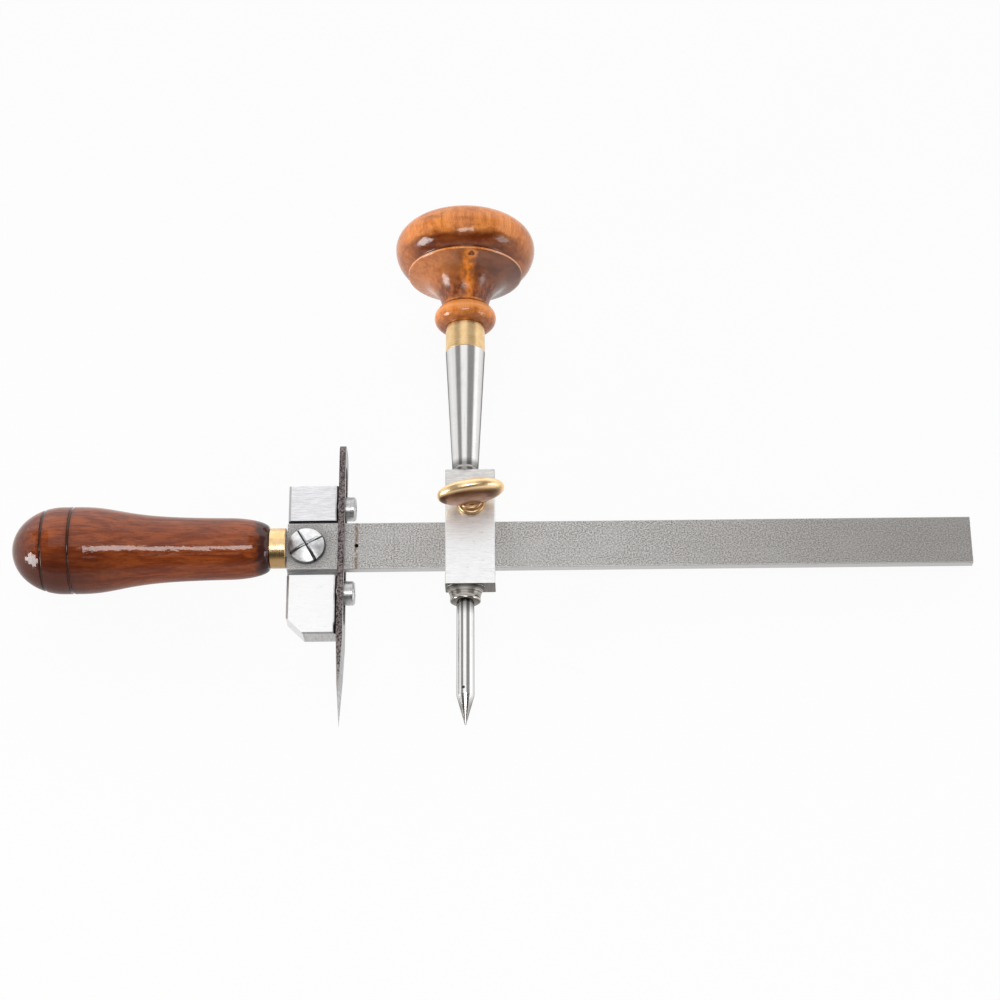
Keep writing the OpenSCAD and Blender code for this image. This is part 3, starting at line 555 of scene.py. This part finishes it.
def blade_steel():
    """Hardened strip: dark pitted edges, a dark inner face and a ground point."""
    s = Shader("blade_hardened_steel", metallic=1.0)
    grit = s.noise((0.75, 0.8, 0.75), detail=4, rough=0.75)
    ground = s.noise((6, 0.35, 12), detail=3, rough=0.6, seed=2)
    edge = s.mix(s.ramp(grit, 0.38, 0.62), (0.022, 0.018, 0.018, 1), (0.28, 0.236, 0.232, 1))
    face = s.mix(s.ramp(ground, 0.35, 0.7), grey(0.36, 0.01), grey(0.56))
    tone = s.mix(s.ramp(s.normal_x, 0.5, 0.8), edge, face)
    point = s.mix(s.ramp(ground, 0.3, 0.7), grey(0.42, 0.01), grey(0.66))
    tone = s.mix(s.ramp(s.y, BLADE_POINT_Y - 34, BLADE_POINT_Y - 8, 0.75, 0.0), tone, point)
    s.set(Base_Color=tone, Roughness=s.ramp(grit, 0.2, 0.8, 0.34, 0.56))
    s.bump(grit, 0.02)
    return s.material


def cad_mesh(name):
    """A copy of a CAD node's mesh with its split corners joined."""
    mesh = bmesh.new()
    mesh.from_mesh(nodes[name].data)
    bmesh.ops.remove_doubles(mesh, verts=mesh.verts, dist=WELD)
    return mesh


def tool_vert(mesh, point):
    """A new vertex at a point of the tool, in millimetres."""
    return mesh.verts.new(tool_to_row @ (Vector(point) * MM))


def loft(mesh, rings):
    """Joins closed rings of tool points and caps both ends."""
    made = [[tool_vert(mesh, point) for point in ring] for ring in rings]
    for low, high in zip(made, made[1:]):
        for i in range(len(low)):
            j = (i + 1) % len(low)
            mesh.faces.new((low[i], low[j], high[j], high[i]))
    mesh.faces.new(made[0][::-1])
    mesh.faces.new(made[-1])


def make_piece(name, mesh, body, node, slot):
    """Turns a mesh into a piece that rides on a body in place of a CAD node."""
    bmesh.ops.recalc_face_normals(mesh, faces=mesh.faces)
    data = bpy.data.meshes.new(name)
    mesh.to_mesh(data)
    mesh.free()
    data.shade_smooth()
    data.set_sharp_from_angle(angle=SHARP_ANGLE)
    data.materials.append(FINISHES[slot])
    piece = bpy.data.objects.new(name, data)
    bpy.context.collection.objects.link(piece)
    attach(piece, body)
    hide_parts(node)


def circle(count):
    return [math.tau * i / count for i in range(count)]


def make_thumb_screw():
    """Cast thumb screw: the CAD's shank, collar and stem with a plate softened like a casting."""
    mesh = bmesh.new()
    shank_r, shank_l, tip_r = 3, 10, 0.05
    beads = [(4.7, 1.3, 1.3), (3.85, 3.55, 0.95)]
    stem = [(3.2, 4.6), (2.9, 6.0), (2.3, 8.5), (2.0, 11)]
    outline = [(tip_r, -shank_l), (shank_r, -shank_l), (shank_r, 0)]
    for out, mid, half in beads:
        for turn in range(-90, 91, 15):
            a = math.radians(turn)
            outline.append((out + half * math.cos(a), mid + half * math.sin(a)))
    at = THUMB_SCREW_AT / MM
    rings = []
    for r, z in outline + stem:
        rings.append([at + Vector((r * math.cos(a), r * math.sin(a), z)) for a in circle(64)])
    loft(mesh, rings)
    half_l, half_w, half_t, height = 13.5, 9.2, 3.4, 10.65
    turn = math.radians(9)
    along = Vector((math.cos(turn), math.sin(turn), 0))
    across = Vector((-math.sin(turn), math.cos(turn), 0))
    slices = 40
    fullness, bluntness = 2 / 2.5, 0.75
    rings = []
    for step in range(-slices, slices + 1):
        share = math.sin(math.pi / 2 * step / (slices + 0.5))
        round_off = math.sqrt(1 - share**2)
        width = half_w * round_off
        thick = half_t * round_off**bluntness
        ring = []
        for a in circle(72):
            c, d = math.cos(a), math.sin(a)
            t = thick * math.copysign(abs(c) ** fullness, c)
            w = width * math.copysign(abs(d) ** fullness, d)
            ring.append(at + along * (half_l * share) + across * t + Vector((0, 0, height + w)))
        rings.append(ring)
    loft(mesh, rings)
    make_piece("thumb_screw_cast", mesh, "thumb", "thumb_screw", "brass")


def make_head():
    """The CAD's head block cut off above its boss, with a round, coved boss set into the cut."""
    mesh = cad_mesh("head_block")
    bmesh.ops.bisect_plane(
        mesh,
        geom=mesh.verts[:] + mesh.edges[:] + mesh.faces[:],
        dist=WELD,
        plane_co=tool_to_row @ Vector((0, BOSS_TOP_Y * MM, 0)),
        plane_no=tool_axes.col[1],
        clear_inner=True,
    )
    floor_inset, boss_inset = 0.01, 0.02
    left, right, back, front = -7.9, 11.9, -4.9, 4.95
    corners = [(left, back), (right, back), (right, front), (left, front)]
    floor_y = BOSS_TOP_Y + floor_inset
    mesh.faces.new([tool_vert(mesh, (x, floor_y, z)) for x, z in corners])
    steps = 30
    waist_x, cove_x, cove_power = 5.95, 1.95, 2.4
    top_z, flare_z = 4.95, 0.55
    lip_out, lip_at, lip_length = 0.22, 0.86, 0.1
    edge_in, edge_length = 0.55, 0.08
    rings = []
    for step in range(steps + 1):
        t = step / steps
        lip = lip_out * math.exp(-(((t - lip_at) / lip_length) ** 2))
        edge = edge_in * max(0, (t - 1 + edge_length) / edge_length) ** 2
        half_x = waist_x + cove_x * (1 - t) ** cove_power + lip - edge
        half_z = top_z + flare_z * t + lip - edge
        y = BOSS_TOP_Y + boss_inset - BOSS_L * t
        rings.append([(half_x * math.cos(a), y, half_z * math.sin(a)) for a in circle(80)])
    loft(mesh, rings)
    make_piece("head_block_filed", mesh, "head", "head_block", "head_steel")


def ease(value, low, high):
    """0 at low, 1 at high and smooth between."""
    share = min(max((value - low) / (high - low), 0), 1)
    return share * share * (3 - 2 * share)


def make_knob():
    """The CAD's palm knob with its crown closed and its ridge lower, for a flatter underside."""
    mesh = cad_mesh("palm_knob")
    pit = []
    for vert in mesh.verts:
        place = row_to_tool @ vert.co / MM
        if place.xz.length < CROWN_PIT_R and place.y > CAD_RIDGE_Y - 2:
            pit.append(vert)
    bmesh.ops.delete(mesh, geom=pit, context="VERTS")
    bmesh.ops.holes_fill(mesh, edges=[edge for edge in mesh.edges if edge.is_boundary])
    reach_below, reach_above, bore_r = 6, 11, 6
    for vert in mesh.verts:
        place = row_to_tool @ vert.co
        y = place.y / MM
        if y < CAD_RIDGE_Y:
            share = ease(y, CAD_RIDGE_Y - reach_below, CAD_RIDGE_Y)
        else:
            share = 1 - ease(y, CAD_RIDGE_Y, CAD_RIDGE_Y + reach_above)
        if place.xz.length > bore_r * MM:
            place.y -= RIDGE_DROP * share * MM
        vert.co = tool_to_row @ place
    make_piece("palm_knob_turned", mesh, "head", "palm_knob", "knob_wood")


def floor_material():
    """White to the camera and in reflections, with the object's shadow left on it."""
    material = bpy.data.materials.new("studio_floor")
    material.use_nodes = True
    material.node_tree.nodes.clear()
    n = Nodes(material.node_tree)
    path = n.node("ShaderNodeLightPath").outputs
    shown = n.highest(path["Is Camera Ray"], path["Is Glossy Ray"], path["Is Transmission Ray"])
    diffuse = n.node("ShaderNodeBsdfDiffuse", {"Color": (0.75, 0.75, 0.75, 1)})
    white = n.node("ShaderNodeEmission")
    share = n.both(shown, 0.93)
    blend = n.node("ShaderNodeMixShader", {0: share, 1: diffuse.outputs[0], 2: white.outputs[0]})
    n.node("ShaderNodeOutputMaterial", {"Surface": blend.outputs[0]})
    return material


def make_floor():
    """A floor just clear of the pieces that slide down towards it."""
    slides = [joint for joint in joints.values() if joint["type"] == "slide"]
    sinks = max(-joint["axis"][2] * end for joint in slides for end in joint["range_m"])
    half, clearance = 9.0, 0.0002
    mesh = bpy.data.meshes.new("studio_floor")
    corners = [(-half, -half, 0), (half, -half, 0), (half, half, 0), (-half, half, 0)]
    mesh.from_pydata(corners, [], [(0, 1, 2, 3)])
    mesh.materials.append(floor_material())
    floor = bpy.data.objects.new("studio_floor", mesh)
    floor.location.z = cad_box[0].z - sinks - clearance
    bpy.context.collection.objects.link(floor)


def make_world():
    """A studio in the tool's axes: a white horizon, a band over the spindle and darker gaps."""
    world = bpy.data.worlds.new("studio")
    bpy.context.scene.world = world
    world.use_nodes = True
    n = Nodes(world.node_tree)
    way = n.node("ShaderNodeTexCoord").outputs["Generated"]
    height = n.split(way)[2]
    x, y, _ = n.split(n.mapped(way, turn=row_to_tool.to_euler()))
    band = n.both(n.ramp(x, -0.5, -0.38), n.ramp(x, 0.16, 0.3, 1.0, 0.0))
    right = n.ramp(x, 0.74, 0.84, 0.0, 1.2)
    left = n.ramp(x, -0.84, -0.74, 0.9, 0.0)
    beyond = n.ramp(y, 0.48, 0.62, 0.25, 1.4)
    ahead = n.both(n.highest(band, right, left, beyond), n.ramp(y, -0.3, -0.05))
    horizon = n.both(n.ramp(height, 0.13, 0.3, 1.0, 0.0), n.ramp(y, -0.5, -0.25, 0.4, 1.0))
    background = world.node_tree.nodes["Background"]
    n.feed(background.inputs["Color"], (1, 1, 1, 1))
    n.feed(background.inputs["Strength"], n.highest(ahead, horizon, 0.1))


def make_light(name, toward, distance, size, radiance):
    """A soft box seen from the tool in one direction of the tool's axes."""
    direction = (tool_axes @ Vector(toward)).normalized()
    light = bpy.data.lights.new(name, "AREA")
    light.shape = "RECTANGLE"
    light.size, light.size_y = size
    light.energy = radiance * math.pi * size[0] * size[1]
    lamp = bpy.data.objects.new(name, light)
    lamp.location = tool_origin + direction * distance
    lamp.rotation_euler = direction.to_track_quat("Z", "Y").to_euler()
    bpy.context.collection.objects.link(lamp)


def make_camera(below, aside, roll, distance, focal_px, target_px):
    """The photograph's camera: it looks up at the tool's face from below by some degrees."""
    below, aside, roll = (math.radians(v) for v in (below, aside, roll))
    back = Vector(
        (
            math.sin(aside) * math.cos(below),
            -math.sin(below),
            math.cos(aside) * math.cos(below),
        )
    )
    right = Vector((0, 1, 0)).cross(back).normalized()
    up = back.cross(right)
    right, up = (
        right * math.cos(roll) + up * math.sin(roll),
        up * math.cos(roll) - right * math.sin(roll),
    )
    shift_x = (target_px[0] - IMAGE_PX / 2) / focal_px * distance
    shift_y = (IMAGE_PX / 2 - target_px[1]) / focal_px * distance
    place = back * distance - right * shift_x - up * shift_y
    data = bpy.data.cameras.new("photo_camera")
    data.sensor_width = 36
    data.lens = focal_px / IMAGE_PX * data.sensor_width
    data.clip_start, data.clip_end = 0.01, 20
    camera = bpy.data.objects.new("photo_camera", data)
    local = Matrix((right, up, back)).transposed().to_4x4()
    camera.matrix_world = tool_to_row @ Matrix.Translation(place) @ local
    bpy.context.collection.objects.link(camera)
    bpy.context.scene.camera = camera


# Materials by slot of the record. The two ferrules have a brass of their own.
FINISHES = {
    "beam_steel": beam_steel(),
    "handle_wood": handle_wood(),
    "knob_wood": knob_wood(),
    "holder_metal": holder_metal(),
    "plated_steel": plated_steel(),
    "blade_steel": blade_steel(),
    "screw_steel": screw_steel(),
    "head_steel": head_steel(),
    "polished_steel": polished_steel(),
    "brass": cast_brass(),
}
FERRULES = {
    "handle_ferrule": turned_brass("handle_ferrule_brass", along="x", rough=0.22, shade_below=0.72),
    "knob_ferrule": turned_brass("knob_ferrule_brass", along="y", rough=0.26, shade_below=0.0),
}

for subpart in frame["record"]["subparts"]:
    node = nodes[subpart["node"]]
    finish = FERRULES.get(node.name, FINISHES[subpart["material_slot"]])
    node.data.materials.clear()
    node.data.materials.append(finish)

make_thumb_screw()
make_head()
make_knob()
make_floor()
make_world()
make_light("overhead_box", (0.035, -0.29, 0.955), distance=1.3, size=(0.6, 0.3), radiance=8.5)
make_light("left_box", (-0.89, -0.4, 0.2), distance=1.1, size=(0.44, 0.42), radiance=13)
make_light("right_box", (0.86, -0.42, 0.3), distance=1.1, size=(0.44, 0.36), radiance=4.5)
make_light("low_card", (-0.08, -0.64, 0.76), distance=1.3, size=(0.22, 0.1), radiance=1.2)
make_camera(
    below=24, aside=0.6, roll=-0.37, distance=1.009, focal_px=2520, target_px=(465.4, 546.5)
)
bpy.context.scene.view_settings.view_transform = "Standard"
